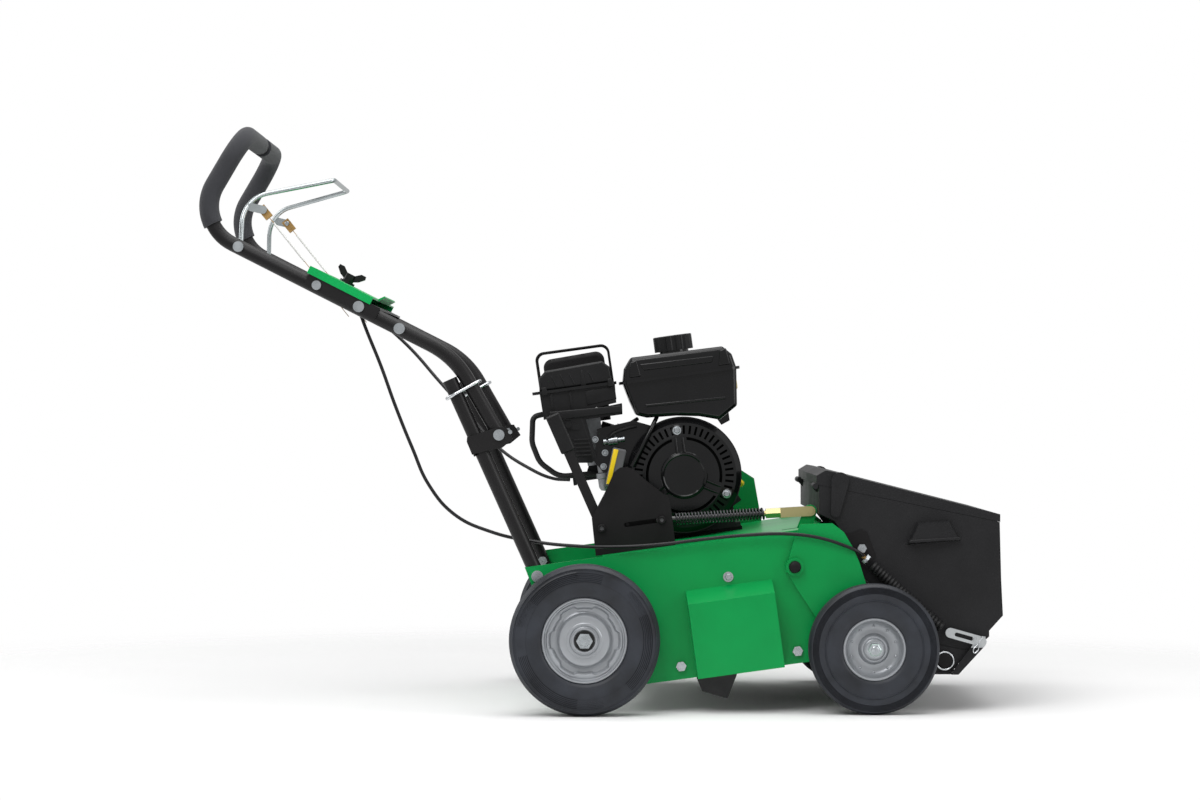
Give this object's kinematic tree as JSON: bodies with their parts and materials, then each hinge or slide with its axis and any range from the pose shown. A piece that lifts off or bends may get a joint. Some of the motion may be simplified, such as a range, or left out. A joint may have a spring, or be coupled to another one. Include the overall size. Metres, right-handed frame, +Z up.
{
  "type": "overseeder",
  "caption": "Walk-behind petrol overseeder with a slicing reel, seed hopper, folding handle, bail and depth lever.",
  "frame": {"origin": "bottom centre of the bounding box, on the floor", "axes": "+X forward to the hopper, +Y to the machine's left, +Z up"},
  "size_m": [1.3733, 0.74, 1.0013],
  "materials": {
    "green_paint": "glossy green powder coat",
    "black_paint": "semi-gloss black powder coat",
    "zinc": "bright zinc plate",
    "yellow_zinc": "yellow zinc plate",
    "chrome_wire": "polished wire",
    "knob_black": "moulded black",
    "blade_steel": "hardened steel",
    "soft_grip": "closed-cell foam",
    "brass_clip": "plain",
    "tyre_rubber": "matt, slightly dusty",
    "rim_paint": "silver grey enamel",
    "engine_aluminium": "cast and machined",
    "engine_black": "gloss black",
    "muffler_steel": "dull heat-marked steel",
    "hose_rubber": "plain black",
    "cable_black": "black sheathed cable",
    "hopper_plastic": "black moulding with fine speckle",
    "gate_metal": "plain sheet"
  },
  "bodies": {
    "frame": {"side_plate_right": "green_paint", "side_plate_left": "green_paint", "deck_top": "green_paint", "rear_axle": "zinc", "bearing_cover": "green_paint", "belt_guard": "green_paint", "deck_brackets": "black_paint", "deck_fasteners": "zinc", "engine_block": "engine_aluminium", "blower_housing": "engine_black", "recoil_cover": "engine_black", "fuel_tank": "engine_black", "air_cleaner_base": "engine_black", "air_cleaner_cover": "engine_black", "muffler": "muffler_steel", "carburettor": "engine_aluminium", "control_panel": "engine_black", "breather_hose": "hose_rubber", "lower_tubes": "black_paint", "hopper_body": "hopper_plastic", "cable_boot": "hose_rubber", "seed_cable": "cable_black", "drive_cable": "cable_black", "drive_belt": "hose_rubber"},
    "rear_wheel_right": {"rear_tyre_right": "tyre_rubber", "rear_rim_right": "rim_paint"},
    "rear_wheel_left": {"rear_tyre_left": "tyre_rubber", "rear_rim_left": "rim_paint"},
    "front_wheel_right": {"front_tyre_right": "tyre_rubber", "front_rim_right": "rim_paint"},
    "front_wheel_left": {"front_tyre_left": "tyre_rubber", "front_rim_left": "rim_paint"},
    "reel": {"reel_shaft": "zinc", "reel_blades": "blade_steel"},
    "engine_shaft": {"crankshaft": "zinc"},
    "idler": {"idler_arm": "zinc"},
    "idler_wheel": {"idler_pulley": "zinc"},
    "front_carriage": {"front_crank": "green_paint"},
    "lever": {"depth_lever": "black_paint", "lever_grip": "soft_grip"},
    "link": {"toggle_link": "zinc"},
    "bolt": {"slide_bolt": "zinc"},
    "rod": {"lift_rod": "yellow_zinc", "lift_spring": "black_paint"},
    "starter": {"starter_grip": "engine_black"},
    "cap": {"fuel_cap": "engine_black"},
    "choke": {"choke_lever": "engine_black"},
    "handle": {"upper_tube": "black_paint", "grips": "soft_grip", "console_plate": "black_paint", "handle_fasteners": "zinc"},
    "rate_plate": {"seed_rate_plate": "green_paint"},
    "knob": {"wing_knob": "knob_black"},
    "bail_lever": {"bail": "zinc"},
    "clips": {"bail_clips": "brass_clip"},
    "rings": {"lock_rings": "chrome_wire"},
    "keepers": {"ring_keepers": "chrome_wire"},
    "lid": {"hopper_lid": "hopper_plastic"},
    "gate": {"seed_gate": "gate_metal"},
    "agitator": {"seed_agitator": "gate_metal"}
  },
  "joints": [
    {"name": "rear_wheel_right_spin", "type": "hinge", "parent": "frame", "child": "rear_wheel_right", "pos_m": [-0.0287, -0.335, 0.127], "axis": [0, 1, 0], "continuous": true},
    {"name": "rear_wheel_left_spin", "type": "hinge", "parent": "frame", "child": "rear_wheel_left", "pos_m": [-0.0287, 0.335, 0.127], "axis": [0, 1, 0], "continuous": true},
    {"name": "front_wheel_right_spin", "type": "hinge", "parent": "front_carriage", "child": "front_wheel_right", "pos_m": [0.46, -0.313, 0.11], "axis": [0, 1, 0], "continuous": true},
    {"name": "front_wheel_left_spin", "type": "hinge", "parent": "front_carriage", "child": "front_wheel_left", "pos_m": [0.46, 0.313, 0.11], "axis": [0, 1, 0], "continuous": true},
    {"name": "reel_spin", "type": "hinge", "parent": "frame", "child": "reel", "pos_m": [0.22643, 0, 0.14322], "axis": [0, 1, 0], "continuous": true},
    {"name": "crankshaft_spin", "type": "hinge", "parent": "frame", "child": "engine_shaft", "pos_m": [0.14679, 0, 0.39675], "axis": [0, 1, 0], "continuous": true},
    {"name": "idler_swing", "type": "hinge", "parent": "frame", "child": "idler", "pos_m": [0.17718, 0.289, 0.33329], "axis": [0, 1, 0], "range_deg": [0, 5]},
    {"name": "idler_pulley_spin", "type": "hinge", "parent": "idler", "child": "idler_wheel", "pos_m": [0.17114, 0.3, 0.26686], "axis": [0, 1, 0], "continuous": true},
    {"name": "front_carriage_lift", "type": "hinge", "parent": "frame", "child": "front_carriage", "pos_m": [0.32829, 0, 0.247], "axis": [0, -1, 0], "range_deg": [0, 18], "deforming": ["seed_cable"]},
    {"name": "depth_lever_swing", "type": "hinge", "parent": "frame", "child": "lever", "pos_m": [0.00044, -0.19, 0.30979], "axis": [0, -1, 0], "range_deg": [0, 52.1]},
    {"name": "toggle_link_swing", "type": "hinge", "parent": "lever", "child": "link", "pos_m": [0.04502, -0.196, 0.31589], "axis": [0, -1, 0], "range_deg": [-88.9, 0]},
    {"name": "slide_bolt_slide", "type": "slide", "parent": "frame", "child": "bolt", "axis": [-0.9907, 0, -0.1357], "range_m": [0, 0.0291]},
    {"name": "lift_rod_tilt", "type": "hinge", "parent": "bolt", "child": "rod", "pos_m": [0.10373, -0.202, 0.32424], "axis": [0, -1, 0], "range_deg": [0, 2.15]},
    {"name": "starter_pull", "type": "slide", "parent": "frame", "child": "starter", "axis": [-0.0592, -0.9, 0.4319], "range_m": [0, 0.25]},
    {"name": "fuel_cap_turn", "type": "hinge", "parent": "frame", "child": "cap", "pos_m": [0.13021, 0.042, 0.62461], "axis": [-0.1357, 0, 0.9907], "range_deg": [0, 90]},
    {"name": "choke_swing", "type": "hinge", "parent": "frame", "child": "choke", "pos_m": [-0.04202, -0.042, 0.48192], "axis": [0, -1, 0], "range_deg": [0, 30]},
    {"name": "handle_fold", "type": "hinge", "parent": "frame", "child": "handle", "pos_m": [-0.1747, 0, 0.471], "axis": [0, 1, 0], "range_deg": [0, 94], "deforming": ["seed_cable", "drive_cable"]},
    {"name": "seed_rate_slide", "type": "slide", "parent": "handle", "child": "rate_plate", "axis": [-0.8916, 0, 0.4528], "range_m": [-0.02, 0.02]},
    {"name": "wing_knob_turn", "type": "hinge", "parent": "handle", "child": "knob", "pos_m": [-0.45379, 0, 0.74132], "axis": [0.4528, 0, 0.8916], "continuous": true},
    {"name": "bail_squeeze", "type": "hinge", "parent": "handle", "child": "bail_lever", "pos_m": [-0.6186, 0, 0.7917], "axis": [0, -1, 0], "range_deg": [0, 40]},
    {"name": "bail_clip_swing", "type": "hinge", "parent": "bail_lever", "child": "clips", "pos_m": [-0.582, 0, 0.8573], "axis": [0, -1, 0], "range_deg": [-28, 0]},
    {"name": "lock_ring_slide", "type": "slide", "parent": "handle", "child": "rings", "axis": [-0.4084, 0, 0.9128], "range_m": [0, 0.03]},
    {"name": "ring_keeper_slide", "type": "slide", "parent": "frame", "child": "keepers", "axis": [-0.4084, 0, 0.9128], "range_m": [0, 0.03]},
    {"name": "lid_open", "type": "hinge", "parent": "frame", "child": "lid", "pos_m": [0.366, 0, 0.383], "axis": [0, -1, 0], "range_deg": [0, 105]},
    {"name": "seed_gate_slide", "type": "slide", "parent": "frame", "child": "gate", "axis": [-1, 0, 0], "range_m": [0, 0.014], "deforming": ["cable_boot"]},
    {"name": "agitator_spin", "type": "hinge", "parent": "frame", "child": "agitator", "pos_m": [0.586, 0, 0.0853], "axis": [0, 1, 0], "continuous": true}
  ],
  "couplings": [
    {"joint": "crankshaft_spin", "follows": "reel_spin", "ratio": 1.45},
    {"joint": "depth_lever_swing", "follows": "front_carriage_lift", "ratio": 2.889},
    {"joint": "toggle_link_swing", "follows": "front_carriage_lift", "ratio": -4.93},
    {"joint": "slide_bolt_slide", "follows": "front_carriage_lift", "m_per_rad": 0.0923},
    {"joint": "lift_rod_tilt", "follows": "front_carriage_lift", "ratio": 0.117},
    {"joint": "idler_swing", "follows": "bail_squeeze", "ratio": 0.125},
    {"joint": "bail_clip_swing", "follows": "bail_squeeze", "ratio": -0.7},
    {"joint": "seed_gate_slide", "follows": "bail_squeeze", "m_per_rad": 0.02005},
    {"joint": "ring_keeper_slide", "follows": "lock_ring_slide", "ratio": 1}
  ]
}
